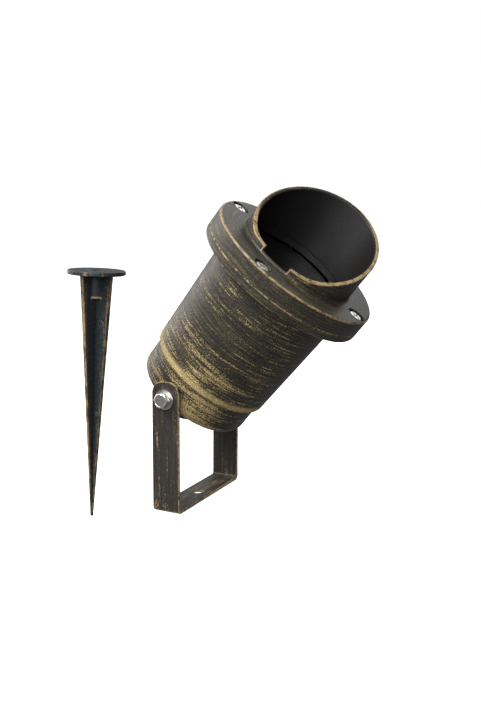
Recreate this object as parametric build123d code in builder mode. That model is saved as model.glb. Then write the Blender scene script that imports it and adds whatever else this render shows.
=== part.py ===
"""Garden spike spotlight: a cast lamp head on a folded strip yoke, with its loose ground spike beside it.

X runs along the tilt axis, the head looks towards -Y and up, and Z is up. The origin is the centre of the
yoke's base hole, on the underside of the base.
"""

import os
from math import cos, hypot, radians, sin, sqrt

from build123d import *

os.makedirs("parts", exist_ok=True)

# ---------------------------------------------------------------------------------------------------------
# Driving dimensions, in millimetres and degrees
# ---------------------------------------------------------------------------------------------------------

# Yoke: one folded steel strip
strip_width = 15.0
strip_thickness = 1.5
leg_gap = 1.15  # between each leg and the can
pivot_height = 58.0  # tilt axis above the underside of the base
leg_top = 8.6  # top of a leg above the tilt axis
leg_corner_radius = 6.0
bend_radius = 1.2  # inside of each bend
base_hole_radius = 3.0
strip_edge_radius = 0.3

# Head: distances run along the head's own axis, from the tilt axis towards the front
head_elevation = 51.1
tail_back = 3.8  # from the tilt axis back to the rear face
tail_front = 12.8  # from the tilt axis forward to the step
tail_corner_radius = 3.5
step_length = 1.2
step_height = 2.0  # from the tail out to the barrel
barrel_taper = 2.3  # how much the barrel's radius grows towards the flange
can_front = 74.3  # back of the flange
can_wall = 3.2
flange_margin = 5.3  # from the ring screws out to the flange's edge
flange_thickness = 4.3
flange_edge_radius = 1.0
seam_chamfer = 0.35

# Front ring with its hood
ring_thickness = 8.5
ring_edge_radius = 1.1
hood_radius = 30.5
hood_wall = 2.2
hood_root_radius = 1.2
hood_long_side = 31.2  # height of the hood above the ring on its long side
hood_short_side = 1.2  # height at which the slanted cut would meet the short side
hood_collar = 3.8  # least height of the hood, beside the notch
hood_blend_radius = 18.0  # between the slanted cut and the collar
hood_rim_radius = 0.5
notch_width = 15.8
notch_floor = 1.0  # height of the notch's floor above the ring
notch_reach = 4.4  # to each side of the hood's outside, more than its wall
ledge_radius = 26.0  # opening of the lip that holds the glass
lip_thickness = 2.9

# Glass and its gasket
glass_seat = 1.0  # how far the glass reaches over the can's mouth
glass_thickness = 3.0
gasket_wall = 0.7
glass_chamfer = 0.35
gasket_overlap = 3.0  # how far the gasket's lips reach over the glass

# Ring screws: M4 pan heads
ring_screw_land = 5.7  # from the gasket's recess out to the screws
ring_screw_count = 4
recess_radius = 4.5
recess_depth = 2.9
m4_radius = 2.0
pan_head_radius = 3.9
pan_head_height = 2.4
pan_head_rounding = 1.45
ring_screw_length = 9.6
ring_hole_clearance = 0.25
cross_width = 1.1
cross_length = 4.4
cross_depth = 1.4

# Pivots: M4 hex bolts with a spring washer and a plain washer outside, and a spacer inside each leg
hex_across_flats = 7.0
hex_height = 2.8
pivot_bolt_length = 14.0
spring_washer_radius = 3.8
spring_washer_height = 1.0
spring_washer_gap = 0.9
plain_washer_radius = 5.0
plain_washer_height = 1.0
pivot_pad_radius = 6.4
pivot_boss_radius = 5.2
pivot_boss_gap = 3.8  # from each boss to the lampholder
spacer_radius = 6.0
spacer_length = 1.0

# Cast posts on the rear wall, for the lampholder and the terminal block
post_height = 5.1
post_radius = 2.6
post_hole_depth = 4.6
post_screw_reach = 3.7  # how far each screw goes into its post
m3_radius = 1.5
m3_head_radius = 2.7
m3_head_height = 1.6
holder_screw_offset = 10.8

# GU10 lampholder
holder_radius = 14.4
holder_height = 14.5
holder_edge_radius = 0.8
pin_circle_radius = 5.0
pin_head_radius = 2.5
pin_stem_radius = 1.5
pin_length = 7.0
pin_head_height = 2.5
contact_width = 2.5
contact_length = 3.5
holder_top_plate = 2.6
twist_angle = 30.0  # lamp's turn from its entry to its locked place
pocket_depth = 10.4
pocket_clearance = 0.15

# Reflector lamp
lamp_length = 47.0  # from the holder's face to the lamp's rim
lamp_radius = 25.3
lamp_rim_height = 3.6
lamp_wall = 1.6
lamp_waist_radius = 20.2  # halfway from the neck to the rim
lamp_neck_radius = 12.0
lamp_base_length = 17.0
lamp_base_radius = 10.6
lamp_base_straight = 5.6  # straight part next to the holder
lamp_cover_thickness = 1.6
capsule_radius = 3.6
capsule_length = 17.0
capsule_tip_rounding = 2.9

# Terminal block and leads
block_width = 16.0
block_depth = 9.2
block_height = 14.0
block_gap = 0.8  # between the block and the lampholder
block_wall_gap = 1.22  # between the block's corners and the can
pole_spacing = 8.4
wire_hole_radius = 1.15
wire_hole_depth = 4.0
block_corner_radius = 1.15
clamp_screw_radius = 1.3
clamp_screw_length = 2.6
clamp_screw_inset = 3.6
lead_radius = 1.0
lead_drop = 3.1
lead_bend_radius = 3.0
lead_start = 9.6

# Earth terminal
earth_wall_gap = 3.3  # between the earth pad and the can
earth_pad_radius = 4.6
earth_pad_height = 2.0
earth_washer_radius = 4.2
earth_washer_height = 0.8
earth_screw_length = 4.2

# Cable gland, size M12
gland_thread_radius = 6.0
gland_bore_radius = 4.1
gland_hex_across_flats = 15.0
gland_hex_height = 3.4
gland_washer_height = 1.0
gland_washer_radius = 8.2
gland_neck_radius = 5.6
gland_neck_length = 5.2
gland_thread_inside = 3.2
locknut_height = 3.0
gland_nut_radius = 7.4
gland_nut_length = 10.0
gland_nut_opening = 3.9
gland_nut_end = 2.4
gland_seal_radius = 5.0
gland_cable_radius = 3.5

# Ground spike, standing on its tip beside the yoke
spike_tip = (-52.2, 30.8)
spike_lean = 2.3  # from the vertical
spike_lean_direction = -63.8  # from +X, seen from above
spike_turn = 80.3  # of the ribs about the spike's own axis
spike_length = 121.0
disc_radius = 13.7
disc_thickness = 2.0
disc_edge_radius = 0.5
rib_root_width = 19.4
rib_tip_width = 1.3
rib_root_thickness = 2.2
rib_tip_thickness = 0.8
socket_radius = 4.2
socket_length = 11.0
socket_bore_radius = 2.4
socket_bore_depth = 11.0

# Clearances
thread_clearance = 0.05
running_clearance = 0.08
seat_gap = 0.05
glass_clearance = 0.2
ring_clearance = 0.3

# ---------------------------------------------------------------------------------------------------------
# Places worked out from them
# ---------------------------------------------------------------------------------------------------------

block_offset = holder_radius + block_gap + block_depth / 2
block_reach = hypot(block_offset + block_depth / 2, block_width / 2)
tail_inner_radius = block_reach + block_wall_gap
earth_offset = tail_inner_radius - earth_wall_gap - earth_pad_radius
tail_radius = tail_inner_radius + can_wall
can_rear_radius = tail_radius + step_height
can_front_radius = can_rear_radius + barrel_taper
can_rear_inner_radius = can_rear_radius - can_wall
can_mouth_radius = can_front_radius - can_wall

leg_inner = tail_radius + leg_gap
leg_outer = leg_inner + strip_thickness
pivot_pad_face = leg_inner - seat_gap - spacer_length
pivot_boss_end = holder_radius + pivot_boss_gap

pivot = (0, 0, pivot_height)
head_rise = radians(head_elevation)
head_direction = (0, -cos(head_rise), sin(head_rise))
head_axis = Axis(pivot, head_direction)
# Across the head: local Z is the head's axis. Along the head: local X is the radius and local Y the axis.
across_head = Plane(origin=pivot, x_dir=(1, 0, 0), z_dir=head_direction)
along_head = Plane(origin=pivot, x_dir=(1, 0, 0), z_dir=(0, -sin(head_rise), -cos(head_rise)))

can_face = can_front + flange_thickness
ring_face = can_face + ring_thickness
rear_wall_inside = can_wall - tail_back
step_front = tail_front + step_length

glass_radius = can_mouth_radius + glass_seat
gasket_radius = glass_radius + gasket_wall + glass_clearance
gasket_height = glass_thickness + 2 * gasket_wall
lip_back = can_face + gasket_height
lip_front = lip_back + lip_thickness
ring_recess_radius = gasket_radius + ring_clearance
glass_back = can_face + gasket_wall
ring_screw_circle = ring_recess_radius + ring_screw_land
flange_radius = ring_screw_circle + flange_margin

recess_floor = ring_face - recess_depth
holder_back = rear_wall_inside + post_height
holder_face = holder_back + holder_height
lamp_front = holder_face + lamp_length
block_front = holder_back + block_height

hex_radius = hex_across_flats / sqrt(3)
washer_face = leg_outer + seat_gap + plain_washer_height
bolt_seat = washer_face + spring_washer_height

gland_face = tail_back + gland_washer_height
gland_shoulder = gland_face + gland_hex_height


def corner(sketch, x, y):
    """The sketch's vertex nearest to a point of its own plane."""
    return sketch.vertices().sort_by_distance((x, y, 0))[0]


# ---------------------------------------------------------------------------------------------------------
# Yoke bracket: base and two legs folded from one strip, with rounded leg ends
# ---------------------------------------------------------------------------------------------------------

with BuildPart() as yoke_bracket:
    with BuildSketch(Plane.XZ.offset(-strip_width / 2)):
        with BuildLine():
            FilletPolyline(
                (-leg_outer, pivot_height + leg_top),
                (-leg_outer, 0),
                (leg_outer, 0),
                (leg_outer, pivot_height + leg_top),
                radius=bend_radius + strip_thickness,
            )
            Line((leg_outer, pivot_height + leg_top), (leg_inner, pivot_height + leg_top))
            FilletPolyline(
                (leg_inner, pivot_height + leg_top),
                (leg_inner, strip_thickness),
                (-leg_inner, strip_thickness),
                (-leg_inner, pivot_height + leg_top),
                radius=bend_radius,
            )
            Line((-leg_inner, pivot_height + leg_top), (-leg_outer, pivot_height + leg_top))
        make_face()
    extrude(amount=strip_width)
    leg_corners = yoke_bracket.edges().filter_by(Axis.X).group_by(Axis.Z)[-1]
    fillet(leg_corners, radius=leg_corner_radius)
    fillet(yoke_bracket.faces().filter_by(Axis.Y).edges(), radius=strip_edge_radius)
    with BuildSketch(Plane.YZ):
        with Locations((0, pivot_height)):
            Circle(m4_radius + running_clearance)
    extrude(amount=leg_outer + strip_thickness, both=True, mode=Mode.SUBTRACT)
    with BuildSketch(Plane.XY):
        Circle(base_hole_radius)
    extrude(amount=strip_thickness, mode=Mode.SUBTRACT)

# ---------------------------------------------------------------------------------------------------------
# Housing can: stepped tail with a closed rear wall, tapered barrel and flange
# ---------------------------------------------------------------------------------------------------------

with BuildPart() as housing_can:
    with BuildSketch(along_head) as can_section:
        with BuildLine():
            Polyline(
                (0, -tail_back),
                (tail_radius, -tail_back),
                (tail_radius, tail_front),
                (can_rear_radius, step_front),
                (can_front_radius, can_front),
                (flange_radius, can_front),
                (flange_radius, can_face),
                (can_mouth_radius, can_face),
                (can_rear_inner_radius, step_front),
                (tail_inner_radius, tail_front),
                (tail_inner_radius, rear_wall_inside),
                (0, rear_wall_inside),
                close=True,
            )
        make_face()
        fillet(corner(can_section, tail_radius, -tail_back), radius=tail_corner_radius)
        fillet(corner(can_section, flange_radius, can_front), radius=flange_edge_radius)
        fillet(corner(can_section, can_front_radius, can_front), radius=flange_edge_radius)
        chamfer(corner(can_section, flange_radius, can_face), length=seam_chamfer)
        fillet(corner(can_section, can_rear_radius, step_front), radius=step_length)
    revolve(axis=head_axis)

    # Pivot pads outside and their threaded bosses inside
    for side in (-1, 1):
        with BuildSketch(Plane(origin=(side * pivot_pad_face, 0, pivot_height), z_dir=(-side, 0, 0))):
            Circle(pivot_pad_radius)
        extrude(amount=can_wall / 2)
        with BuildSketch(Plane(origin=(side * pivot_boss_end, 0, pivot_height), z_dir=(side, 0, 0))):
            Circle(pivot_boss_radius)
        extrude(amount=tail_inner_radius + can_wall / 2 - pivot_boss_end)
        with BuildSketch(Plane(origin=(side * pivot_pad_face, 0, pivot_height), z_dir=(-side, 0, 0))):
            Circle(m4_radius + thread_clearance)
        extrude(amount=pivot_pad_face - pivot_boss_end, mode=Mode.SUBTRACT)

    # Posts for the lampholder and the terminal block, and the earth pad, on the rear wall
    with BuildSketch(across_head.offset(rear_wall_inside)):
        with Locations((0, holder_screw_offset), (0, -holder_screw_offset), (0, block_offset)):
            Circle(post_radius)
    extrude(amount=post_height)
    with BuildSketch(across_head.offset(rear_wall_inside)):
        with Locations((0, -earth_offset)):
            Circle(earth_pad_radius)
    extrude(amount=earth_pad_height)
    with BuildSketch(across_head.offset(holder_back)):
        with Locations((0, holder_screw_offset), (0, -holder_screw_offset), (0, block_offset)):
            Circle(m3_radius + thread_clearance)
    extrude(amount=-post_hole_depth, mode=Mode.SUBTRACT)
    with BuildSketch(across_head.offset(rear_wall_inside + earth_pad_height)):
        with Locations((0, -earth_offset)):
            Circle(m4_radius + thread_clearance)
    extrude(amount=-earth_screw_length, mode=Mode.SUBTRACT)

    # Cable gland's hole in the rear wall
    with BuildSketch(across_head.offset(-tail_back)):
        Circle(gland_thread_radius + thread_clearance)
    extrude(amount=can_wall, mode=Mode.SUBTRACT)

    # Threaded holes for the ring's screws, right through the flange
    with BuildSketch(across_head.offset(can_front)):
        with PolarLocations(ring_screw_circle, ring_screw_count):
            Circle(m4_radius + thread_clearance)
    extrude(amount=flange_thickness, mode=Mode.SUBTRACT)

# ---------------------------------------------------------------------------------------------------------
# Front ring: cast in one with the hood, which is cut on a slant down to a low collar with a drain notch
# ---------------------------------------------------------------------------------------------------------

with BuildPart() as front_ring:
    with BuildSketch(along_head) as ring_section:
        with BuildLine():
            Polyline(
                (ledge_radius, lip_back),
                (ring_recess_radius, lip_back),
                (ring_recess_radius, can_face),
                (flange_radius, can_face),
                (flange_radius, ring_face),
                (hood_radius, ring_face),
                (hood_radius, ring_face + hood_long_side),
                (hood_radius - hood_wall, ring_face + hood_long_side),
                (hood_radius - hood_wall, lip_front),
                (ledge_radius, lip_front),
                close=True,
            )
        make_face()
        chamfer(corner(ring_section, flange_radius, can_face), length=seam_chamfer)
        fillet(corner(ring_section, flange_radius, ring_face), radius=ring_edge_radius)
        fillet(corner(ring_section, hood_radius, ring_face), radius=hood_root_radius)
    revolve(axis=head_axis)

    # Slanted cut: from the long side at +X down to the collar on the short side at -X
    slant = (hood_long_side - hood_short_side) / (2 * hood_radius)
    beyond = hood_radius + hood_wall
    collar_reach = (hood_collar - hood_short_side) / slant - hood_radius
    with BuildSketch(along_head) as hood_cut:
        with BuildLine():
            Polyline(
                (-beyond, ring_face + hood_collar),
                (collar_reach, ring_face + hood_collar),
                (beyond, ring_face + hood_short_side + slant * (beyond + hood_radius)),
                (beyond, ring_face + 2 * hood_long_side),
                (-beyond, ring_face + 2 * hood_long_side),
                close=True,
            )
        make_face()
        fillet(corner(hood_cut, collar_reach, ring_face + hood_collar), radius=hood_blend_radius)
    extrude(amount=beyond, both=True, mode=Mode.SUBTRACT)
    rim_level = head_axis.position + head_axis.direction * (ring_face + hood_collar / 2)
    rim_edges = front_ring.edges().filter_by(GeomType.LINE, reverse=True)
    rim_edges = rim_edges.filter_by(lambda edge: (edge.center() - rim_level).dot(head_axis.direction) > 0)
    fillet(rim_edges, radius=hood_rim_radius)

    # Drain notch through the collar
    with BuildSketch(across_head.offset(ring_face + notch_floor)):
        with Locations((-hood_radius, 0)):
            Rectangle(2 * notch_reach, notch_width)
    extrude(amount=hood_collar, mode=Mode.SUBTRACT)

    # Recesses and holes for the four screws
    with BuildSketch(across_head.offset(recess_floor)):
        with PolarLocations(ring_screw_circle, ring_screw_count):
            Circle(recess_radius)
    extrude(amount=recess_depth, mode=Mode.SUBTRACT)
    with BuildSketch(across_head.offset(can_face)):
        with PolarLocations(ring_screw_circle, ring_screw_count):
            Circle(m4_radius + ring_hole_clearance)
    extrude(amount=recess_floor - can_face, mode=Mode.SUBTRACT)

# ---------------------------------------------------------------------------------------------------------
# Glass and the U-section gasket round its edge
# ---------------------------------------------------------------------------------------------------------

with BuildPart() as glass_lens:
    with BuildSketch(across_head.offset(glass_back)):
        Circle(glass_radius)
    extrude(amount=glass_thickness)
    chamfer(glass_lens.edges(), length=glass_chamfer)

with BuildPart() as lens_gasket:
    with BuildSketch(along_head):
        with BuildLine():
            Polyline(
                (glass_radius - gasket_overlap, can_face),
                (gasket_radius, can_face),
                (gasket_radius, lip_back),
                (glass_radius - gasket_overlap, lip_back),
                (glass_radius - gasket_overlap, lip_back - gasket_wall),
                (glass_radius + glass_clearance, lip_back - gasket_wall),
                (glass_radius + glass_clearance, glass_back),
                (glass_radius - gasket_overlap, glass_back),
                close=True,
            )
        make_face()
    revolve(axis=head_axis)

# ---------------------------------------------------------------------------------------------------------
# Ring screws: pan heads with a cross recess
# ---------------------------------------------------------------------------------------------------------

with BuildPart() as ring_screws:
    with BuildSketch(across_head.offset(recess_floor)):
        with PolarLocations(ring_screw_circle, ring_screw_count):
            Circle(pan_head_radius)
    extrude(amount=pan_head_height)
    fillet(ring_screws.edges().group_by(head_axis)[-1], radius=pan_head_rounding)
    with BuildSketch(across_head.offset(recess_floor - ring_screw_length)):
        with PolarLocations(ring_screw_circle, ring_screw_count):
            Circle(m4_radius)
    extrude(amount=ring_screw_length)
    with BuildSketch(across_head.offset(recess_floor + pan_head_height - cross_depth)):
        with PolarLocations(ring_screw_circle, ring_screw_count):
            Rectangle(cross_length, cross_width)
            Rectangle(cross_width, cross_length)
    extrude(amount=cross_depth, mode=Mode.SUBTRACT)

# ---------------------------------------------------------------------------------------------------------
# Pivot hardware, alike on both sides
# ---------------------------------------------------------------------------------------------------------


def side_plane(side, distance):
    """A plane square to the tilt axis, facing outwards, with its local X pointing up."""
    return Plane(origin=(side * distance, 0, pivot_height), x_dir=(0, 0, 1), z_dir=(side, 0, 0))


with BuildPart() as pivot_bolts:
    for side in (-1, 1):
        with BuildSketch(side_plane(side, bolt_seat)):
            RegularPolygon(hex_radius, 6)
        extrude(amount=hex_height)
        with BuildSketch(side_plane(side, bolt_seat)):
            Circle(m4_radius)
        extrude(amount=-pivot_bolt_length)

with BuildPart() as pivot_spring_washers:
    for side in (-1, 1):
        with BuildSketch(side_plane(side, washer_face)):
            Circle(spring_washer_radius)
            Circle(m4_radius + thread_clearance, mode=Mode.SUBTRACT)
            with Locations((0, (spring_washer_radius + m4_radius) / 2)):
                Rectangle(spring_washer_gap, spring_washer_radius, mode=Mode.SUBTRACT)
        extrude(amount=spring_washer_height)

with BuildPart() as pivot_washers:
    for side in (-1, 1):
        with BuildSketch(side_plane(side, leg_outer + seat_gap)):
            Circle(plain_washer_radius)
            Circle(m4_radius + thread_clearance, mode=Mode.SUBTRACT)
        extrude(amount=plain_washer_height)

with BuildPart() as pivot_spacers:
    for side in (-1, 1):
        with BuildSketch(side_plane(side, pivot_pad_face)):
            Circle(spacer_radius)
            Circle(m4_radius + thread_clearance, mode=Mode.SUBTRACT)
        extrude(amount=leg_inner - seat_gap - pivot_pad_face)

# ---------------------------------------------------------------------------------------------------------
# Reflector lamp: glass cup, cover glass, burner, ceramic neck and two pins
# ---------------------------------------------------------------------------------------------------------

lamp_rim_back = lamp_front - lamp_rim_height
lamp_neck_front = holder_face + lamp_base_length
lamp_waist = (lamp_neck_front + lamp_rim_back) / 2

with BuildPart() as lamp_reflector:
    with BuildSketch(along_head):
        with BuildLine():
            Line((capsule_radius + lamp_wall, lamp_neck_front), (lamp_neck_radius, lamp_neck_front))
            ThreePointArc(
                (lamp_neck_radius, lamp_neck_front),
                (lamp_waist_radius, lamp_waist),
                (lamp_radius, lamp_rim_back),
            )
            Polyline(
                (lamp_radius, lamp_rim_back),
                (lamp_radius, lamp_front),
                (lamp_radius - lamp_wall, lamp_front),
                (lamp_radius - lamp_wall, lamp_rim_back),
            )
            ThreePointArc(
                (lamp_radius - lamp_wall, lamp_rim_back),
                (lamp_waist_radius - lamp_wall, lamp_waist + lamp_wall / 2),
                (capsule_radius + lamp_wall, lamp_neck_front + lamp_wall),
            )
            Line(
                (capsule_radius + lamp_wall, lamp_neck_front + lamp_wall),
                (capsule_radius + lamp_wall, lamp_neck_front),
            )
        make_face()
    revolve(axis=head_axis)

with BuildPart() as lamp_front_glass:
    with BuildSketch(across_head.offset(lamp_front)):
        Circle(lamp_radius - lamp_wall / 2)
    extrude(amount=lamp_cover_thickness)
    chamfer(lamp_front_glass.edges().group_by(head_axis)[-1], length=lamp_cover_thickness / 2)

with BuildPart() as lamp_capsule:
    with BuildSketch(along_head) as capsule_section:
        with BuildLine():
            Polyline(
                (0, lamp_neck_front),
                (capsule_radius, lamp_neck_front),
                (capsule_radius, lamp_neck_front + capsule_length),
                (0, lamp_neck_front + capsule_length),
                close=True,
            )
        make_face()
        fillet(
            corner(capsule_section, capsule_radius, lamp_neck_front + capsule_length),
            radius=capsule_tip_rounding,
        )
    revolve(axis=head_axis)

with BuildPart() as lamp_base:
    with BuildSketch(along_head):
        with BuildLine():
            Polyline(
                (0, holder_face),
                (lamp_base_radius, holder_face),
                (lamp_base_radius, holder_face + lamp_base_straight),
                (lamp_neck_radius, lamp_neck_front),
                (0, lamp_neck_front),
                close=True,
            )
        make_face()
    revolve(axis=head_axis)

with BuildPart() as lamp_pins:
    with BuildSketch(across_head.offset(holder_face)):
        with PolarLocations(pin_circle_radius, 2):
            Circle(pin_stem_radius)
    extrude(amount=-pin_length)
    with BuildSketch(across_head.offset(holder_face - pin_length)):
        with PolarLocations(pin_circle_radius, 2):
            Circle(pin_head_radius)
    extrude(amount=pin_head_height)

# ---------------------------------------------------------------------------------------------------------
# Lampholder: round ceramic body with two keyhole slots over pockets for the pins' heads
# ---------------------------------------------------------------------------------------------------------

twist_travel = 2 * pin_circle_radius * sin(radians(twist_angle / 2))
twist_middle_radius = pin_circle_radius * cos(radians(twist_angle / 2))

with BuildPart() as lampholder:
    with BuildSketch(across_head.offset(holder_back)):
        Circle(holder_radius)
    extrude(amount=holder_height)
    fillet(lampholder.edges().group_by(head_axis)[-1], radius=holder_edge_radius)
    with BuildSketch(across_head.offset(holder_face - holder_top_plate)):
        with PolarLocations(twist_middle_radius, 2, start_angle=twist_angle / 2):
            SlotCenterToCenter(twist_travel, 2 * (pin_head_radius + pocket_clearance), rotation=90)
    extrude(amount=holder_top_plate - pocket_depth, mode=Mode.SUBTRACT)
    with BuildSketch(across_head.offset(holder_face)):
        with PolarLocations(twist_middle_radius, 2, start_angle=twist_angle / 2):
            SlotCenterToCenter(twist_travel, 2 * (pin_stem_radius + ring_hole_clearance), rotation=90)
        with PolarLocations(pin_circle_radius, 2, start_angle=twist_angle):
            Circle(pin_head_radius + ring_hole_clearance)
    extrude(amount=-holder_top_plate, mode=Mode.SUBTRACT)
    with BuildSketch(across_head.offset(holder_face)):
        with Locations((0, holder_screw_offset), (0, -holder_screw_offset)):
            Circle(m3_head_radius + ring_hole_clearance)
    extrude(amount=-m3_head_height - ring_hole_clearance, mode=Mode.SUBTRACT)
    with BuildSketch(across_head.offset(holder_back)):
        with Locations((0, holder_screw_offset), (0, -holder_screw_offset)):
            Circle(m3_radius + thread_clearance)
    extrude(amount=holder_height, mode=Mode.SUBTRACT)

# Spring contacts: a small blade on the floor of each pocket, under the pin's head
contact_floor = holder_face - pocket_depth
contact_height = pocket_depth - pin_length

with BuildPart() as lampholder_contacts:
    with BuildSketch(across_head.offset(contact_floor)):
        with PolarLocations(pin_circle_radius, 2):
            Rectangle(contact_width, contact_length)
    extrude(amount=contact_height)

with BuildPart() as lampholder_screws:
    for offset_y in (-holder_screw_offset, holder_screw_offset):
        head_seat = holder_face - m3_head_height - ring_hole_clearance
        with BuildSketch(across_head.offset(head_seat)):
            with Locations((0, offset_y)):
                Circle(m3_head_radius)
        extrude(amount=m3_head_height)
        with BuildSketch(across_head.offset(head_seat)):
            with Locations((0, offset_y)):
                Circle(m3_radius)
        extrude(amount=holder_back - post_screw_reach - head_seat)

# ---------------------------------------------------------------------------------------------------------
# Terminal block with its screws, and the two leads from the lampholder
# ---------------------------------------------------------------------------------------------------------

block_face_offset = block_offset - block_depth / 2
clamp_places = (holder_back + clamp_screw_inset, block_front - clamp_screw_inset)
# Faces the head's axis: local X is the head's X and local Y its axis
block_face_plane = Plane(
    origin=across_head.from_local_coords((0, block_face_offset, 0)),
    x_dir=(1, 0, 0),
    z_dir=along_head.z_dir,
)

with BuildPart() as terminal_block:
    with BuildSketch(across_head.offset(holder_back)) as block_section:
        with Locations((0, block_offset)):
            RectangleRounded(block_width, block_depth, block_corner_radius)
    extrude(amount=block_height)
    for end, depth in ((holder_back, wire_hole_depth), (block_front, -wire_hole_depth)):
        with BuildSketch(across_head.offset(end)):
            with Locations((0, block_offset)):
                with GridLocations(pole_spacing, 1, 2, 1):
                    Circle(wire_hole_radius)
        extrude(amount=depth, mode=Mode.SUBTRACT)
    for place in clamp_places:
        with BuildSketch(block_face_plane):
            with Locations((-pole_spacing / 2, place), (pole_spacing / 2, place)):
                Circle(clamp_screw_radius + thread_clearance)
        extrude(amount=-clamp_screw_length, mode=Mode.SUBTRACT)
    with BuildSketch(across_head.offset(holder_back)):
        with Locations((0, block_offset)):
            Circle(m3_radius + thread_clearance)
    extrude(amount=block_height, mode=Mode.SUBTRACT)

with BuildPart() as terminal_screws:
    for place in clamp_places:
        with BuildSketch(block_face_plane):
            with Locations((-pole_spacing / 2, place), (pole_spacing / 2, place)):
                Circle(clamp_screw_radius)
        extrude(amount=-clamp_screw_length)

with BuildPart() as terminal_fixing_screw:
    with BuildSketch(across_head.offset(block_front)):
        with Locations((0, block_offset)):
            Circle(m3_head_radius)
    extrude(amount=m3_head_height)
    with BuildSketch(across_head.offset(block_front)):
        with Locations((0, block_offset)):
            Circle(m3_radius)
    extrude(amount=holder_back - post_screw_reach - block_front)

lead_end = holder_back + wire_hole_depth

with BuildPart() as lampholder_leads:
    for lead_x in (-pole_spacing / 2, pole_spacing / 2):
        with BuildLine():
            FilletPolyline(
                across_head.from_local_coords((lead_x, lead_start, holder_back)),
                across_head.from_local_coords((lead_x, lead_start, holder_back - lead_drop)),
                across_head.from_local_coords((lead_x, block_offset, holder_back - lead_drop)),
                across_head.from_local_coords((lead_x, block_offset, lead_end)),
                radius=lead_bend_radius,
            )
        with BuildSketch(across_head.offset(holder_back)):
            with Locations((lead_x, lead_start)):
                Circle(lead_radius)
        sweep()

# ---------------------------------------------------------------------------------------------------------
# Earth terminal on the rear wall
# ---------------------------------------------------------------------------------------------------------

earth_seat = rear_wall_inside + earth_pad_height

with BuildPart() as earth_washer:
    with BuildSketch(across_head.offset(earth_seat)):
        with Locations((0, -earth_offset)):
            Circle(earth_washer_radius)
            Circle(m4_radius + thread_clearance, mode=Mode.SUBTRACT)
    extrude(amount=earth_washer_height)

with BuildPart() as earth_screw:
    with BuildSketch(across_head.offset(earth_seat + earth_washer_height)):
        with Locations((0, -earth_offset)):
            Circle(pan_head_radius)
    extrude(amount=pan_head_height)
    fillet(earth_screw.edges().group_by(head_axis)[-1], radius=pan_head_rounding)
    with BuildSketch(across_head.offset(earth_seat + earth_washer_height)):
        with Locations((0, -earth_offset)):
            Circle(m4_radius)
    extrude(amount=-earth_screw_length)

# ---------------------------------------------------------------------------------------------------------
# Cable gland through the rear wall: body, sealing washer, locknut inside, rubber sleeve and dome nut
# ---------------------------------------------------------------------------------------------------------

with BuildPart() as gland_body:
    with BuildSketch(across_head.offset(-gland_face)):
        RegularPolygon(gland_hex_across_flats / 2, 6, major_radius=False)
    extrude(amount=-gland_hex_height)
    with BuildSketch(across_head.offset(-gland_shoulder)):
        Circle(gland_neck_radius)
    extrude(amount=-gland_neck_length)
    with BuildSketch(across_head.offset(-gland_face)):
        Circle(gland_thread_radius)
    extrude(amount=gland_washer_height + can_wall + gland_thread_inside)
    with BuildSketch(across_head.offset(-gland_shoulder - gland_neck_length)):
        Circle(gland_bore_radius)
    extrude(
        amount=gland_neck_length + gland_hex_height + gland_washer_height + can_wall + gland_thread_inside,
        mode=Mode.SUBTRACT,
    )

with BuildPart() as gland_washer:
    with BuildSketch(across_head.offset(-tail_back)):
        Circle(gland_washer_radius)
        Circle(gland_thread_radius + thread_clearance, mode=Mode.SUBTRACT)
    extrude(amount=-gland_washer_height)

with BuildPart() as gland_locknut:
    with BuildSketch(across_head.offset(rear_wall_inside)):
        RegularPolygon(gland_hex_across_flats / 2, 6, major_radius=False)
        Circle(gland_thread_radius + thread_clearance, mode=Mode.SUBTRACT)
    extrude(amount=locknut_height)

gland_nut_back = gland_shoulder + seat_gap
gland_nut_tip = gland_nut_back + gland_nut_length
gland_seal_tip = gland_nut_tip - gland_nut_end

with BuildPart() as gland_seal:
    with BuildSketch(across_head.offset(-gland_shoulder - gland_neck_length)):
        Circle(gland_seal_radius)
        Circle(gland_cable_radius, mode=Mode.SUBTRACT)
    extrude(amount=gland_shoulder + gland_neck_length - gland_seal_tip)

with BuildPart() as gland_nut:
    with BuildSketch(along_head) as nut_section:
        with BuildLine():
            Polyline(
                (gland_neck_radius + thread_clearance, -gland_nut_back),
                (gland_nut_radius, -gland_nut_back),
                (gland_nut_radius, -gland_nut_tip),
                (gland_nut_opening, -gland_nut_tip),
                (gland_nut_opening, -gland_seal_tip),
                (gland_neck_radius + thread_clearance, -gland_seal_tip),
                close=True,
            )
        make_face()
        fillet(corner(nut_section, gland_nut_radius, -gland_nut_tip), radius=gland_nut_end)
    revolve(axis=head_axis)

# ---------------------------------------------------------------------------------------------------------
# Ground spike: four tapered ribs under a disc, with a socket boss that takes the yoke's screw
# ---------------------------------------------------------------------------------------------------------

lean = radians(spike_lean)
lean_way = radians(spike_lean_direction)
spike_direction = (sin(lean) * cos(lean_way), sin(lean) * sin(lean_way), cos(lean))
tip_lift = rib_tip_width / 2 * sin(lean)  # puts the lowest corner of the tip on the ground
spike_foot = Plane(
    origin=(*spike_tip, tip_lift),
    x_dir=(cos(radians(spike_turn)), sin(radians(spike_turn)), 0),
    z_dir=spike_direction,
)
disc_back = spike_length - disc_thickness

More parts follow.
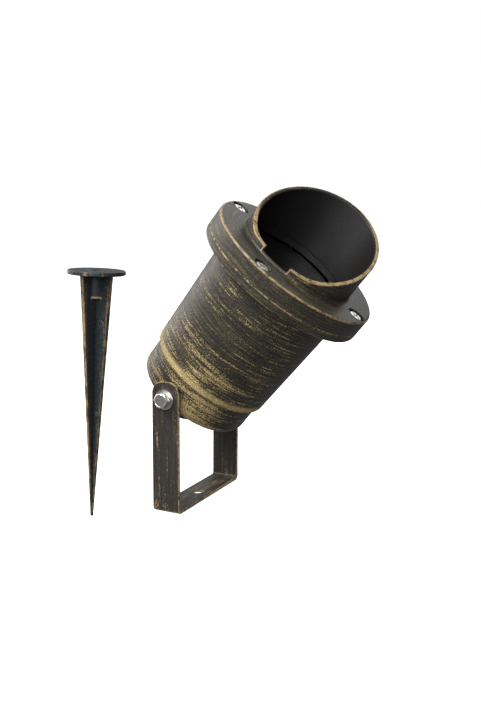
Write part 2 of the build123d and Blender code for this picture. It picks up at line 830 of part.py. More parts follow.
with BuildPart() as ground_spike:
    with BuildSketch(spike_foot):
        Rectangle(rib_tip_width, rib_tip_thickness)
        Rectangle(rib_tip_thickness, rib_tip_width)
    with BuildSketch(spike_foot.offset(disc_back)):
        Rectangle(rib_root_width, rib_root_thickness)
        Rectangle(rib_root_thickness, rib_root_width)
    loft(ruled=True)
    with BuildSketch(spike_foot.offset(disc_back)):
        Circle(disc_radius)
    extrude(amount=disc_thickness)
    fillet(ground_spike.edges().filter_by(GeomType.CIRCLE), radius=disc_edge_radius)
    with BuildSketch(spike_foot.offset(disc_back - socket_length)):
        Circle(socket_radius)
    extrude(amount=socket_length)
    with BuildSketch(spike_foot.offset(spike_length)):
        Circle(socket_bore_radius)
    extrude(amount=-socket_bore_depth, mode=Mode.SUBTRACT)

# ---------------------------------------------------------------------------------------------------------
# Labels and files
# ---------------------------------------------------------------------------------------------------------

pieces = {
    "yoke_bracket": yoke_bracket,
    "housing_can": housing_can,
    "front_ring": front_ring,
    "glass_lens": glass_lens,
    "lens_gasket": lens_gasket,
    "ring_screws": ring_screws,
    "pivot_bolts": pivot_bolts,
    "pivot_spring_washers": pivot_spring_washers,
    "pivot_washers": pivot_washers,
    "pivot_spacers": pivot_spacers,
    "lamp_reflector": lamp_reflector,
    "lamp_front_glass": lamp_front_glass,
    "lamp_capsule": lamp_capsule,
    "lamp_base": lamp_base,
    "lamp_pins": lamp_pins,
    "lampholder": lampholder,
    "lampholder_contacts": lampholder_contacts,
    "lampholder_screws": lampholder_screws,
    "terminal_block": terminal_block,
    "terminal_screws": terminal_screws,
    "terminal_fixing_screw": terminal_fixing_screw,
    "lampholder_leads": lampholder_leads,
    "earth_screw": earth_screw,
    "earth_washer": earth_washer,
    "gland_body": gland_body,
    "gland_washer": gland_washer,
    "gland_locknut": gland_locknut,
    "gland_seal": gland_seal,
    "gland_nut": gland_nut,
    "ground_spike": ground_spike,
}

for piece_name, piece in pieces.items():
    piece.part.label = piece_name
    export_step(piece.part, f"parts/{piece_name}.step")
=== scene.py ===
import math

import bmesh
import bpy
from mathutils import Matrix, Vector


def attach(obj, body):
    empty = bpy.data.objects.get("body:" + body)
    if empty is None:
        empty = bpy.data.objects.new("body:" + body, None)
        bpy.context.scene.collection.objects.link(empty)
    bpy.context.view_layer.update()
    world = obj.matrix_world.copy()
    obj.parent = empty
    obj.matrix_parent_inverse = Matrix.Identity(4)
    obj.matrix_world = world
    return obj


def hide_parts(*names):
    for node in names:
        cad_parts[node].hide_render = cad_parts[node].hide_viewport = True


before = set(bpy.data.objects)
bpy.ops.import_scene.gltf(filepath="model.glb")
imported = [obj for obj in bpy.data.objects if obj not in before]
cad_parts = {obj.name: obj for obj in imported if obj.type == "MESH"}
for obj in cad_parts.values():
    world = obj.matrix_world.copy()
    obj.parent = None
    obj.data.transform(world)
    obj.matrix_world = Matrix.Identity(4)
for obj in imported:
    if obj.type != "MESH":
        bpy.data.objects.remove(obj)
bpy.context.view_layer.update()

# ---------------------------------------------------------------------------------------------------------
# Studio: a pale floor under a pale sky and four soft boxes: above, at the left, behind, and a weak one at
# the right. The camera stands at the lamp's front left, a little above it and about half a metre away.
# ---------------------------------------------------------------------------------------------------------

camera_place = Vector((-0.39866, -0.22012, 0.15669))
camera_right = Vector((0.44145, -0.89726, 0.00737)).normalized()
camera_up = Vector((0.15119, 0.08248, 0.98506))
camera_back = camera_right.cross(camera_up).normalized()
camera_up = camera_back.cross(camera_right)
camera = bpy.data.objects.new("camera", bpy.data.cameras.new("camera"))
camera.data.sensor_width = 36
camera.data.lens = 46.05
camera.data.clip_start = 0.01
camera.matrix_world = Matrix.LocRotScale(
    camera_place,
    Matrix((camera_right, camera_up, camera_back)).transposed().to_quaternion(),
    None,
)
bpy.context.scene.collection.objects.link(camera)
bpy.context.scene.camera = camera
bpy.context.scene.view_settings.view_transform = "Standard"


def soft_box(name, place, aim, size, power):
    """A square area light that faces a point."""
    light = bpy.data.objects.new(name, bpy.data.lights.new(name, "AREA"))
    light.data.size = size
    light.data.energy = power
    light.location = place
    light.rotation_euler = (Vector(place) - Vector(aim)).to_track_quat("Z", "Y").to_euler()
    bpy.context.scene.collection.objects.link(light)


lamp_middle = (0, -0.02, 0.08)
soft_box("soft_box_above", (-0.58, 0.30, 0.85), lamp_middle, 0.4, 15)
soft_box("soft_box_left", (-0.85, -0.22, 0.50), lamp_middle, 0.6, 8)
soft_box("soft_box_behind", (0.15, 1.00, 0.38), lamp_middle, 1.0, 8)
soft_box("soft_box_right", (0.95, 0.10, 0.55), lamp_middle, 0.7, 2.6)


class Shade:
    """One output in a finish's node tree. Arithmetic on it adds Math nodes to the same tree."""

    def __init__(self, tree, socket=None):
        self.tree = tree
        self.socket = socket

    def node(self, kind, settings=None, inputs=None, output=0):
        made = self.tree.nodes.new(kind)
        for name, value in (settings or {}).items():
            setattr(made, name, value)
        for name, value in (inputs or {}).items():
            if isinstance(value, Shade):
                self.tree.links.new(value.socket, made.inputs[name])
            else:
                made.inputs[name].default_value = value
        return Shade(self.tree, made.outputs[output] if made.outputs else None)

    def math(self, operation, *values):
        return self.node("ShaderNodeMath", {"operation": operation}, dict(enumerate(values)))

    def __add__(self, other):
        return self.math("ADD", self, other)

    def __sub__(self, other):
        return self.math("SUBTRACT", self, other)

    def __rsub__(self, other):
        return self.math("SUBTRACT", other, self)

    def __mul__(self, other):
        return self.math("MULTIPLY", self, other)

    def __truediv__(self, other):
        return self.math("DIVIDE", self, other)

    def __abs__(self):
        return self.math("ABSOLUTE", self)

    __radd__ = __add__
    __rmul__ = __mul__

    def over(self, low, high):
        """Rises smoothly from 0 at low to 1 at high, or falls where low is the larger."""
        return self.node(
            "ShaderNodeMapRange",
            {"interpolation_type": "SMOOTHSTEP"},
            {"Value": self, "From Min": low, "From Max": high},
        )

    def larger(self, other):
        return self.math("MAXIMUM", self, other)

    def root(self):
        return self.math("POWER", self, 0.5)

    def wave(self):
        return self.math("SINE", self)

    def dot(self, direction):
        return self.node("ShaderNodeVectorMath", {"operation": "DOT_PRODUCT"}, {0: self, 1: direction}, "Value")

    def three_ways(self):
        return self.dot((1, 0, 0)), self.dot((0, 1, 0)), self.dot((0, 0, 1))

    def mix(self, first, second):
        """This share of the second colour over the first."""
        return self.node("ShaderNodeMix", {"data_type": "RGBA"}, {0: self, 6: first, 7: second}, 2)

    def noise(self, along_x, along_y, along_z, detail=2.0, roughness=0.5):
        """Noise over three lengths in millimetres, which are already divided by the sizes of its marks."""
        spot = self.node("ShaderNodeCombineXYZ", inputs={0: along_x, 1: along_y, 2: along_z})
        return self.node(
            "ShaderNodeTexNoise", inputs={"Vector": spot, "Scale": 1.0, "Detail": detail, "Roughness": roughness}
        )


def new_finish(name):
    """An empty material, the tree it is made in, and the place on the surface in millimetres."""
    material = bpy.data.materials.new(name)
    material.use_nodes = True
    material.node_tree.nodes.clear()
    tree = Shade(material.node_tree)
    place = tree.node("ShaderNodeTexCoord", output="Object")
    return material, tree, place.node("ShaderNodeVectorMath", {"operation": "SCALE"}, {0: place, 3: 1000.0})


def close_finish(tree, inputs, height=None, depth=0.0):
    """The surface itself, with an optional relief of a height from 0 to 1 times a depth in millimetres."""
    if height is not None:
        inputs["Normal"] = tree.node(
            "ShaderNodeBump", inputs={"Strength": 1.0, "Distance": depth / 1000, "Height": height}, output="Normal"
        )
    surface = tree.node("ShaderNodeBsdfPrincipled", inputs=inputs)
    tree.node("ShaderNodeOutputMaterial", inputs={"Surface": surface})


sky = bpy.data.worlds.new("sky")
sky.use_nodes = True
sky.node_tree.nodes.clear()
tree = Shade(sky.node_tree)
seen = tree.node("ShaderNodeBackground", inputs={"Color": (1, 1, 1, 1), "Strength": 1.0})
shed = tree.node("ShaderNodeBackground", inputs={"Color": (0.95, 0.97, 1.0, 1), "Strength": 0.27})
straight = tree.node("ShaderNodeLightPath", output="Is Camera Ray")
sky_seen = tree.node("ShaderNodeMixShader", inputs={0: straight, 1: shed, 2: seen})
tree.node("ShaderNodeOutputWorld", inputs={"Surface": sky_seen})
bpy.context.scene.world = sky

floor_half = 6.0
floor_mesh = bpy.data.meshes.new("floor")
floor_mesh.from_pydata(
    [(x * floor_half, y * floor_half, 0) for x, y in ((-1, -1), (1, -1), (1, 1), (-1, 1))],
    [],
    [(0, 1, 2, 3)],
)
floor = bpy.data.objects.new("floor", floor_mesh)
floor.location.z = -0.0002
bpy.context.scene.collection.objects.link(floor)
floor.visible_glossy = False
floor.visible_diffuse = False
floor_paint, tree, place = new_finish("floor_paint")
close_finish(
    tree,
    {
        "Base Color": (0.80, 0.80, 0.80, 1),
        "Roughness": 0.8,
        "Specular IOR Level": 0.0,
        "Emission Color": (1, 1, 1, 1),
        "Emission Strength": 0.92,
    },
)
floor.data.materials.append(floor_paint)


def dress(node_name, finish):
    """Gives a piece of the frame its finish."""
    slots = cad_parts[node_name].material_slots
    for slot in slots:
        slot.material = finish
    if not slots:
        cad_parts[node_name].data.materials.append(finish)


# ---------------------------------------------------------------------------------------------------------
# Housing can and front ring: aluminium castings in a near-black brown enamel. Old gold is dragged over them
# with a nearly dry brush while they turn, so it catches in fine streaks round the barrel and on every edge.
# ---------------------------------------------------------------------------------------------------------

pivot = Vector((0, 0, 58.0))
head_rise = math.radians(51.1)
head_axis = Vector((0, -math.cos(head_rise), math.sin(head_rise)))
head_up = Vector((0, math.sin(head_rise), math.cos(head_rise)))

enamel_dark = (0.0105, 0.0092, 0.0085, 1)
enamel_warm = (0.026, 0.0225, 0.019, 1)
old_gold = (0.50, 0.375, 0.165, 1)
old_gold_deep = (0.22, 0.17, 0.082, 1)
edge_gold = (0.36, 0.262, 0.122, 1)
# Painted shade: a near-black for the enamel inside the hood, darker than the enamel itself
painted_shade_in_hood = (0.0036, 0.0031, 0.0032, 1)

# Where the castings' forms lie, in millimetres along the head's axis from the pivot
tail_back = -3.0
step_place = 16.4
flange_back = 74.6
seam_place = 78.6
notch_floor = 90.9
notch_half = 7.9
hood_middle = 103.27
hood_slant = 0.4918


def gold_over_enamel(tree, streaks, edges, grain, gloss, dark=enamel_dark, warm=enamel_warm):
    """Gold streaks and worn edges over the enamel, each given as a share from 0 to 1."""
    ground = grain.over(0.35, 0.75).mix(dark, warm)
    brushed = grain.over(0.40, 0.60).mix(old_gold_deep, old_gold)
    coloured = streaks.mix(ground, brushed)
    coloured = edges.mix(coloured, edge_gold)
    gold = streaks.larger(edges)
    close_finish(
        tree,
        {
            "Base Color": coloured,
            "Roughness": gloss + gold * 0.10,
            "Metallic": gold * 0.20,
            "Specular IOR Level": 0.3,
        },
        height=grain + gold * 0.6,
        depth=0.035,
    )


def head_spot(tree, place):
    """The place in the head's own terms: across, up, along its axis, and out from it, in millimetres."""
    from_pivot = place.node("ShaderNodeVectorMath", {"operation": "SUBTRACT"}, {0: place, 1: pivot})
    across = from_pivot.dot((1, 0, 0))
    up = from_pivot.dot(head_up)
    along = from_pivot.dot(head_axis)
    out = (across * across + up * up).root()
    return across, up, along, out


cast_enamel, tree, place = new_finish("cast_enamel")
across, up, along, out = head_spot(tree, place)
wander = tree.noise(across / 26, up / 26, along / 26, 1.0)
brush_way = along + out + wander * 1.8
fine = tree.noise(across / 19, up / 19, brush_way / 0.58, 2.0, 0.7)
broad = tree.noise(across / 24, up / 24, brush_way / 2.4 + 7.0, 2.0, 0.6)
fleck = tree.noise(across / 0.55, up / 0.55, along / 0.55, 2.0, 0.65)
patches = tree.noise(across / 17, up / 17, along / 10 + 3.0, 1.0)
# How much gold there is: most on the tail and the step, least in the middle, a thin wash near the flange
# The extra gold towards −X, the side the light falls on, is partly real gold and partly painted light
gold_load_and_painted_light = (
    0.09
    + 0.38 * along.over(44.0, 13.0) * (0.35 + 0.65 * across.over(24.0, -6.0))
    + 0.22 * across.over(-6.0, -24.0) * along.over(78.0, 45.0)
    + 0.10 * along.over(3.0, -1.0)
    + (patches - 0.5) * 1.1
    - 0.40 * out.over(43.0, 43.6)
)
streak = fine * 0.46 + broad * 0.22 + fleck * 0.42
# Partly painted sheen: a thin gold wash on the −X side, where the light puts a sheen on the enamel
gold_wash_and_painted_sheen = (fine * 0.7 + fleck * 0.3).over(0.42, 0.66) * 0.14 * (0.3 + 0.7 * across.over(0.0, -24.0))
streaks = ((streak + gold_load_and_painted_light * 0.17 - 0.64).over(0.0, 0.12) * 0.88).larger(gold_wash_and_painted_sheen)
step_band = abs(along - step_place + wander * 1.4).over(2.8, 0.8)
step_band = step_band * (fine * 0.6 + fleck * 0.4).over(0.34, 0.50) * out.over(31.2, 31.8) * across.over(20.0, 2.0)
bolt_smear = (along - across * 0.35 - up * 0.2).over(16.0, 10.0) * across.over(-6.0, -14.0) * up.over(10.0, -6.0)
bolt_smear = bolt_smear * (patches * 0.5 + fine * 0.3 + fleck * 0.3).over(0.50, 0.62)
streaks = streaks.larger(step_band).larger(bolt_smear * 0.9)
# Inside the hood no gold is brushed on, and the enamel there is darkened further as painted shade
inside = out.over(28.75, 28.45) * along.over(80.0, 84.0)
bore_limit = 28.5 + along.over(13.0, 14.4) * 2.7
inside_can = (bore_limit - out).over(-0.2, 0.2) * along.over(-3.4, -3.0) * along.over(84.0, 78.0)
streaks = streaks * (1 - inside) * (1 - inside_can)
ring_edge = (out + along).over(130.35, 130.9) * out.over(41.0, 42.0)
seam_edge = abs(along - seam_place).over(0.55, 0.15) * out.over(43.5, 43.9)
rear_edge = out.over(43.4, 44.0) * abs(along - flange_back).over(0.8, 0.2)
tail_edge = abs(along - tail_back).over(1.0, 0.2) * out.over(27.6, 28.8)
rim_height = (across * hood_slant + hood_middle).larger(notch_floor) - along
rim_wear = across.over(-8.0, -20.0).larger(up.over(2.0, -14.0))
hood_rim = rim_height.over(0.70, 0.10) * (out + rim_wear).over(29.5, 29.9) * out.over(32.0, 31.0)
hood_rim = hood_rim * (0.45 + 0.45 * rim_wear)
notch_edge = abs(abs(up) - notch_half).over(0.8, 0.3) * across.over(-20.0, -24.0)
notch_edge = notch_edge * out.over(28.0, 28.3) * out.over(32.0, 31.0) * along.over(87.6, 88.3)
worn = tree.noise(across / 2.2, up / 2.2, along / 1.2, 3.0, 0.75)
edges = (ring_edge * 0.85).larger(hood_rim).larger(notch_edge) * worn.over(0.34, 0.54)
edges = edges.larger((seam_edge.larger(rear_edge * 0.6).larger(tail_edge * 0.8)) * worn.over(0.40, 0.62))
gloss = 0.42 + fleck * 0.12
# Painted shade: inside the hood the enamel and its warmer grain are both darkened
enamel_with_painted_shade = inside.mix(enamel_dark, painted_shade_in_hood)
warm_enamel_with_painted_shade = inside.mix(enamel_warm, enamel_dark)
gold_over_enamel(tree, streaks, edges * 0.9, fleck, gloss, enamel_with_painted_shade, warm_enamel_with_painted_shade)
for node_name in ("housing_can", "front_ring"):
    dress(node_name, cast_enamel)

# ---------------------------------------------------------------------------------------------------------
# Yoke bracket: one steel strip, folded twice and enamelled as the castings are. The brush ran along it, so
# its gold lies in faint lines along the strip, and the cut edges and the folds are rubbed bright.
# ---------------------------------------------------------------------------------------------------------

leg_corner = 6.0
leg_flat = 1.5
leg_round = 60.6
strip_dark = (0.017, 0.0145, 0.0130, 1)
strip_warm = (0.046, 0.039, 0.031, 1)
strip_enamel, tree, place = new_finish("strip_enamel")
side, cross, height = place.three_ways()
lines = tree.noise(side / 26, cross / 0.55, height / 26, 3.0, 0.6)
broad = tree.noise(side / 12, cross / 3.0, height / 12, 1.0)
fleck = tree.noise(side / 0.9, cross / 0.6, height / 0.9, 2.0, 0.6)
smudge = height.over(7.0, 1.0) * 0.07
streaks = (lines * 0.5 + broad * 0.3 + fleck * 0.4 + smudge).over(0.67, 0.84) * 0.6
corner_out = (abs(cross) - leg_flat).larger(0.0)
corner_up = (height - leg_round).larger(0.0)
inset = leg_corner - (corner_out * corner_out + corner_up * corner_up).root()
worn = tree.noise(side / 2.5, cross / 2.5, height / 2.5, 3.0, 0.7)
cut_edge = inset.over(0.60, 0.10) * worn.over(0.36, 0.58)
fold = (abs(side) - height).over(30.4, 31.4) * height.over(2.4, 1.0) * worn.over(0.40, 0.60)
hole_out = (side * side + cross * cross).root()
hole_edge = hole_out.over(3.7, 3.1) * worn.over(0.35, 0.60)
edges = cut_edge.larger(fold * 0.8).larger(hole_edge * 0.7)
grain = fleck * 0.4 + lines * 0.6
gold_over_enamel(tree, streaks, edges * 0.9, grain, 0.42 + fleck * 0.12, strip_dark, strip_warm)
dress("yoke_bracket", strip_enamel)

# ---------------------------------------------------------------------------------------------------------
# Pivot hardware: M4 hex bolts in plain stainless steel, each on a split spring washer and a plain washer,
# screwed into the can through a turned spacer. The bolt heads are cold-forged, with a turned chamfer.
# ---------------------------------------------------------------------------------------------------------


def metal(name, colour, roughness, mark=1.2):
    """Bare metal with faint rolling marks and a little dullness in patches."""
    material, tree, place = new_finish(name)
    x, y, z = place.three_ways()
    dull = tree.noise(x / mark, y / mark, z / mark, 3.0, 0.6)
    scratch = tree.noise(x / 0.25, y / 0.25, z / 2.5, 2.0)
    darker = tuple(0.62 * part for part in colour[:3]) + (1,)
    close_finish(
        tree,
        {
            "Base Color": dull.over(0.40, 0.75).mix(colour, darker),
            "Roughness": roughness + dull * 0.18,
            "Metallic": 1.0,
        },
        height=scratch,
        depth=0.012,
    )
    return material


stainless = metal("stainless", (0.62, 0.60, 0.57, 1), 0.22)
bright_steel = metal("bright_steel", (0.72, 0.71, 0.70, 1), 0.20)
zinc_plate = metal("zinc_plate", (0.56, 0.55, 0.52, 1), 0.30)

hex_flat = 3.5
hex_height = 2.8
hex_chamfer_radius = 3.2
hex_seat = 34.8
bolt_end = 20.8
bolt_radius = 2.0
thread_pitch = 0.7
thread_depth = 0.3


def lathe(rings, steps, name):
    """A closed turned mesh from (radius at an angle, height at an angle) rings, in millimetres."""
    mesh = bmesh.new()
    rows = []
    for ring in rings:
        row = []
        for step in range(steps):
            angle = 2 * math.pi * step / steps
            radius, rise = ring(angle)
            row.append(mesh.verts.new((radius * math.cos(angle), radius * math.sin(angle), rise)))
        rows.append(row)
    for lower, upper in zip(rows, rows[1:]):
        for step in range(steps):
            after = (step + 1) % steps
            mesh.faces.new((lower[step], lower[after], upper[after], upper[step]))
    mesh.faces.new(list(reversed(rows[0])))
    mesh.faces.new(rows[-1])
    made = bpy.data.meshes.new(name)
    bmesh.ops.recalc_face_normals(mesh, faces=mesh.faces)
    mesh.to_mesh(made)
    mesh.free()
    return made


def hexagon(angle):
    """How far the hexagon's side lies from its middle at an angle."""
    return hex_flat / math.cos((angle + math.pi / 6) % (math.pi / 3) - math.pi / 6)


def hex_bolt_rings():
    head = [
        lambda angle: (hex_flat * 0.97, 0.0),
        lambda angle: (hexagon(angle), 0.18 + (hexagon(angle) - hex_flat) * 0.3),
        lambda angle: (hexagon(angle), hex_height - 0.1 - (hexagon(angle) - hex_chamfer_radius) * 0.58),
        lambda angle: (hex_chamfer_radius, hex_height),
        lambda angle: (hex_chamfer_radius - 0.25, hex_height),
        lambda angle: (hex_chamfer_radius - 0.5, hex_height - 0.12),
        lambda angle: (0.4, hex_height - 0.12),
    ]
    shank = []
    rise = bolt_end - hex_seat
    while rise < -thread_pitch:
        shank.append(lambda angle, rise=rise: (bolt_radius - thread_depth, rise))
        shank.append(lambda angle, rise=rise: (bolt_radius, rise + thread_pitch / 2))
        rise += thread_pitch
    shank.append(lambda angle: (bolt_radius, -0.3))
    shank.append(lambda angle: (bolt_radius, 0.0))
    return shank + head


for side_name, turn in (("left", -1), ("right", 1)):
    bolt_mesh = lathe(hex_bolt_rings(), 72, "pivot_bolt_" + side_name)
    outwards = Vector((turn, 0, 0))
    upwards = Vector((0, 0, 1))
    to_side = Matrix((upwards, outwards.cross(upwards), outwards)).transposed().to_4x4()
    to_side.translation = Vector((turn * hex_seat, 0, pivot.z))
    bolt_mesh.transform(Matrix.Scale(0.001, 4) @ to_side)
    bolt = bpy.data.objects.new("pivot_bolt_" + side_name, bolt_mesh)
    bpy.context.scene.collection.objects.link(bolt)
    bolt.data.materials.append(stainless)
    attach(bolt, "head")
    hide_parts("pivot_bolts")

dress("pivot_spring_washers", stainless)
dress("pivot_washers", stainless)
dress("pivot_spacers", zinc_plate)

# ---------------------------------------------------------------------------------------------------------
# Ring screws: four M4 pan heads with a cross recess, bright stainless, sunk in round recesses in the ring.
# ---------------------------------------------------------------------------------------------------------

dress("ring_screws", bright_steel)

# ---------------------------------------------------------------------------------------------------------
# Glass and gasket: a flat toughened disc with ground edges, held in a U-section silicone ring.
# ---------------------------------------------------------------------------------------------------------


def rubber(name, colour):
    """Matt moulded rubber with a soft bloom."""
    material, tree, place = new_finish(name)
    x, y, z = place.three_ways()
    bloom = tree.noise(x / 1.6, y / 1.6, z / 1.6, 3.0, 0.6)
    lighter = tuple(2.2 * part for part in colour[:3]) + (1,)
    close_finish(
        tree,
        {"Base Color": bloom.over(0.35, 0.80).mix(colour, lighter), "Roughness": 0.62 + bloom * 0.2},
        height=bloom,
        depth=0.03,
    )
    return material


clear_glass, tree, place = new_finish("clear_glass")
x, y, z = place.three_ways()
smear = tree.noise(x / 7, y / 7, z / 7, 3.0, 0.6)
close_finish(
    tree,
    {
        "Base Color": smear.over(0.3, 0.8).mix((0.80, 0.84, 0.83, 1), (0.70, 0.74, 0.73, 1)),
        "Roughness": 0.02 + smear * 0.05,
        "Transmission Weight": 1.0,
        "IOR": 1.50,
    },
)
black_rubber = rubber("black_rubber", (0.018, 0.018, 0.018, 1))
dress("glass_lens", clear_glass)
dress("lens_gasket", black_rubber)

# ---------------------------------------------------------------------------------------------------------
# Reflector lamp and its holder: a pressed-glass cup with a faceted mirror, its own cover glass and a halogen
# burner, on a steatite neck with two nickelled pins that lock in a steatite holder.
# ---------------------------------------------------------------------------------------------------------

head_place = Matrix((Vector((1, 0, 0)), head_up, head_axis)).transposed().to_4x4()
head_place.translation = pivot

cup_profile = (
    (5.2, 37.6), (9.0, 38.6), (12.6, 41.2), (15.8, 44.6), (18.4, 48.6),
    (20.6, 53.0), (22.4, 57.6), (23.7, 62.4), (23.7, 66.0),
)
cup_outside = ((25.3, 66.0), (25.3, 62.4), (23.4, 56.4), (20.2, 49.2), (16.4, 42.4), (12.0, 36.0), (5.2, 36.0))
facet_steps = 30


cup_mesh = bmesh.new()
cup_rows = []
for number, (radius, rise) in enumerate(cup_profile + cup_outside):
    shift = 0.5 * (number % 2) if number < len(cup_profile) - 1 else 0.0
    cup_rows.append([
        cup_mesh.verts.new(Vector((
            radius * math.cos(2 * math.pi * (step + shift) / facet_steps),
            radius * math.sin(2 * math.pi * (step + shift) / facet_steps),
            rise,
        )))
        for step in range(facet_steps)
    ])
row_pairs = list(zip(cup_rows, cup_rows[1:] + cup_rows[:1]))
for number, (lower, upper) in enumerate(row_pairs):
    offset = 1 if number % 2 and number < len(cup_profile) - 1 else 0
    for step in range(facet_steps):
        after = (step + 1) % facet_steps
        above = upper[(step + offset) % facet_steps]
        above_after = upper[(after + offset) % facet_steps]
        cup_mesh.faces.new((lower[step], lower[after], above))
        cup_mesh.faces.new((lower[after], above_after, above))
bmesh.ops.recalc_face_normals(cup_mesh, faces=cup_mesh.faces)
mirror_cup_mesh = bpy.data.meshes.new("mirror_cup")
cup_mesh.to_mesh(mirror_cup_mesh)
cup_mesh.free()
mirror_cup_mesh.transform(Matrix.Scale(0.001, 4) @ head_place)
mirror_cup = bpy.data.objects.new("mirror_cup", mirror_cup_mesh)
bpy.context.scene.collection.objects.link(mirror_cup)
mirror_coat = metal("mirror_coat", (0.78, 0.78, 0.80, 1), 0.05, 4.0)
mirror_cup.data.materials.append(mirror_coat)
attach(mirror_cup, "head")
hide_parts("lamp_reflector")


def ceramic_or_plastic(name, colour, roughness, grain=0.8, relief=0.02):
    """A moulded or pressed body colour with fine grain."""
    material, tree, place = new_finish(name)
    x, y, z = place.three_ways()
    mottle = tree.noise(x / 6, y / 6, z / 6, 3.0, 0.6)
    speckle = tree.noise(x / grain, y / grain, z / grain, 2.0, 0.6)
    darker = tuple(0.78 * part for part in colour[:3]) + (1,)
    close_finish(
        tree,
        {
            "Base Color": (mottle * 0.5 + speckle * 0.5).over(0.35, 0.70).mix(colour, darker),
            "Roughness": roughness + speckle * 0.12,
        },
        height=speckle,
        depth=relief,
    )
    return material


steatite = ceramic_or_plastic("steatite", (0.74, 0.71, 0.64, 1), 0.55)
contact_brass = metal("contact_brass", (0.70, 0.52, 0.26, 1), 0.28)
dress("lamp_front_glass", clear_glass)
dress("lamp_capsule", clear_glass)
dress("lamp_base", steatite)
dress("lampholder", steatite)
dress("lamp_pins", contact_brass)
dress("lampholder_contacts", contact_brass)
dress("lampholder_screws", zinc_plate)

# ---------------------------------------------------------------------------------------------------------
# Wiring: a two-pole terminal block, the holder's two sleeved leads, and an earth screw with its brass washer.
# ---------------------------------------------------------------------------------------------------------

block_nylon = ceramic_or_plastic("block_nylon", (0.72, 0.72, 0.67, 1), 0.42)
braid_turns = 7.0
woven_sleeve, tree, place = new_finish("woven_sleeve")
x, y, z = place.three_ways()
braid_one = ((x + y + z) * braid_turns).wave()
braid_two = ((x - y + z) * braid_turns).wave()
braid = (braid_one * braid_two).over(-0.6, 0.6)
close_finish(
    tree,
    {"Base Color": braid.mix((0.52, 0.50, 0.42, 1), (0.78, 0.76, 0.66, 1)), "Roughness": 0.75},
    height=braid,
    depth=0.08,
)
dress("terminal_block", block_nylon)
dress("terminal_screws", zinc_plate)
dress("terminal_fixing_screw", zinc_plate)
dress("lampholder_leads", woven_sleeve)
dress("earth_screw", stainless)
dress("earth_washer", contact_brass)

# ---------------------------------------------------------------------------------------------------------
# Cable gland: black nylon, size M12, with a ribbed dome nut that squeezes a rubber sleeve round the cord.
# ---------------------------------------------------------------------------------------------------------

black_nylon = ceramic_or_plastic("black_nylon", (0.022, 0.022, 0.023, 1), 0.38, 0.5, 0.015)
for node_name in ("gland_body", "gland_locknut", "gland_nut"):
    dress(node_name, black_nylon)
for node_name in ("gland_washer", "gland_seal"):
    dress(node_name, black_rubber)

grip_ribs = 20
grip_back = -9.0
grip_front = -15.4
grip_inner = 7.2
grip_outer = 7.65
grip_half = 0.45
grip_mesh = bmesh.new()
for number in range(grip_ribs):
    angle = 2 * math.pi * number / grip_ribs
    ray = Vector((math.cos(angle), math.sin(angle), 0))
    along_rib = Vector((-math.sin(angle), math.cos(angle), 0))
    section = []
    for rise, reach in ((grip_back, grip_outer), (grip_front, grip_outer - 0.15)):
        section.append([
            grip_mesh.verts.new(ray * grip_inner + along_rib * grip_half + Vector((0, 0, rise))),
            grip_mesh.verts.new(ray * reach + along_rib * grip_half * 0.4 + Vector((0, 0, rise))),
            grip_mesh.verts.new(ray * reach - along_rib * grip_half * 0.4 + Vector((0, 0, rise))),
            grip_mesh.verts.new(ray * grip_inner - along_rib * grip_half + Vector((0, 0, rise))),
        ])
    first, last = section
    for step in range(4):
        after = (step + 1) % 4
        grip_mesh.faces.new((first[step], first[after], last[after], last[step]))
    grip_mesh.faces.new(first)
    grip_mesh.faces.new(list(reversed(last)))
bmesh.ops.recalc_face_normals(grip_mesh, faces=grip_mesh.faces)
nut_grip_mesh = bpy.data.meshes.new("gland_nut_grip")
grip_mesh.to_mesh(nut_grip_mesh)
grip_mesh.free()
nut_grip_mesh.transform(Matrix.Scale(0.001, 4) @ head_place)
nut_grip = bpy.data.objects.new("gland_nut_grip", nut_grip_mesh)
bpy.context.scene.collection.objects.link(nut_grip)
nut_grip.data.materials.append(black_nylon)
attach(nut_grip, "head")

# ---------------------------------------------------------------------------------------------------------
# Ground spike: moulded blue-black plastic, four tapered ribs under a disc, with a socket for the yoke's
# screw. The same old gold is rubbed over its edges, and round ejector marks show on the ribs.
# ---------------------------------------------------------------------------------------------------------

spike_tip = Vector((-52.2, 30.8, 0.026))
spike_lean = math.radians(2.3)
spike_way = math.radians(-63.8)
spike_turn = math.radians(80.3)
spike_axis = Vector((
    math.sin(spike_lean) * math.cos(spike_way),
    math.sin(spike_lean) * math.sin(spike_way),
    math.cos(spike_lean),
))
rib_one = Vector((math.cos(spike_turn), math.sin(spike_turn), 0))
rib_one = (rib_one - spike_axis * rib_one.dot(spike_axis)).normalized()
rib_two = spike_axis.cross(rib_one)

spike_plastic, tree, place = new_finish("spike_plastic")
from_tip = place.node("ShaderNodeVectorMath", {"operation": "SUBTRACT"}, {0: place, 1: spike_tip})
one, two, rise = from_tip.dot(rib_one), from_tip.dot(rib_two), from_tip.dot(spike_axis)
reach = abs(one).larger(abs(two))
half_width = 0.65 + rise * (9.05 / 119.0)
out = (one * one + two * two).root()
drag = tree.noise(one / 0.7, two / 0.7, rise / 20, 3.0, 0.6)
fleck = tree.noise(one / 0.8, two / 0.8, rise / 0.9, 2.0, 0.6)
worn = tree.noise(one / 3.0, two / 3.0, rise / 6.0, 3.0, 0.7)
on_ribs = rise.over(118.9, 118.6)
rib_edge = (half_width - reach).over(0.40, 0.05) * on_ribs * worn.over(0.42, 0.62) * 0.7
boss_rim = abs(rise - 108.2).over(0.9, 0.3) * out.over(3.2, 3.7) * out.over(4.8, 4.5)
disc_edge = out.over(13.1, 13.6) * (1 - on_ribs) * worn.over(0.50, 0.66) * 0.7
outer = (half_width - reach).over(3.0, 0.3) * on_ribs
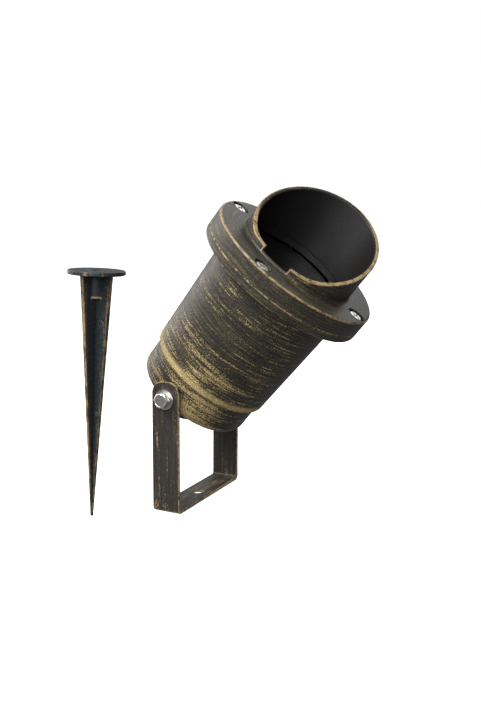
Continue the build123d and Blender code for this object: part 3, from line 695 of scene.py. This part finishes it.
streaks = (drag * 0.55 + fleck * 0.35 + worn * 0.2 + outer * 0.16).over(0.63, 0.84) * 0.6
edges = rib_edge.larger(boss_rim * 0.8).larger(disc_edge * 0.7)
plastic = fleck.over(0.35, 0.8).mix((0.0100, 0.0140, 0.0165, 1), (0.030, 0.038, 0.042, 1))
gold = streaks.larger(edges)
coloured = streaks.mix(plastic, (0.20, 0.135, 0.06, 1))
coloured = edges.mix(coloured, (0.32, 0.23, 0.115, 1))
close_finish(
    tree,
    {"Base Color": coloured, "Roughness": 0.40 + fleck * 0.16, "Metallic": gold * 0.2, "Specular IOR Level": 0.3},
    height=drag + gold * 0.5,
    depth=0.04,
)
dress("ground_spike", spike_plastic)

# Ejector marks: the moulding pins left two round rims on the face of one rib; their tops are a lighter brown,
# partly rubbed gold and partly a painted highlight
rubbed_plastic_with_painted_highlight = ceramic_or_plastic("rubbed_plastic_with_painted_highlight", (0.085, 0.070, 0.046, 1), 0.42, 0.5, 0.03)
for number, (mark_radius, mark_rise, mark_reach) in enumerate(((1.60, 96.0, 4.4), (0.95, 52.0, 2.5)), 1):
    mark_mesh = lathe(
        [
            lambda angle: (mark_radius, -0.10),
            lambda angle: (mark_radius, 0.16),
            lambda angle: (mark_radius - 0.12, 0.26),
            lambda angle: (mark_radius - 0.30, 0.26),
            lambda angle: (mark_radius - 0.42, 0.02),
            lambda angle: (mark_radius * 0.3, 0.05),
        ],
        36,
        "spike_ejector_mark_" + str(number),
    )
    rib_half = 0.4 + mark_rise * 0.7 / 119.0
    to_rib = Matrix((-rib_one, spike_axis, rib_two)).transposed().to_4x4()
    to_rib.translation = spike_tip + spike_axis * mark_rise - rib_one * mark_reach + rib_two * rib_half
    mark_mesh.transform(Matrix.Scale(0.001, 4) @ to_rib)
    mark = bpy.data.objects.new(mark_mesh.name, mark_mesh)
    bpy.context.scene.collection.objects.link(mark)
    mark.data.materials.append(spike_plastic)
    mark.data.materials.append(rubbed_plastic_with_painted_highlight)
    for face in mark.data.polygons:
        # The rims' outer chamfer and top take the lighter brown, partly a painted highlight
        face.material_index = int(face.index // 36 in (1, 2))
    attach(mark, "spike")
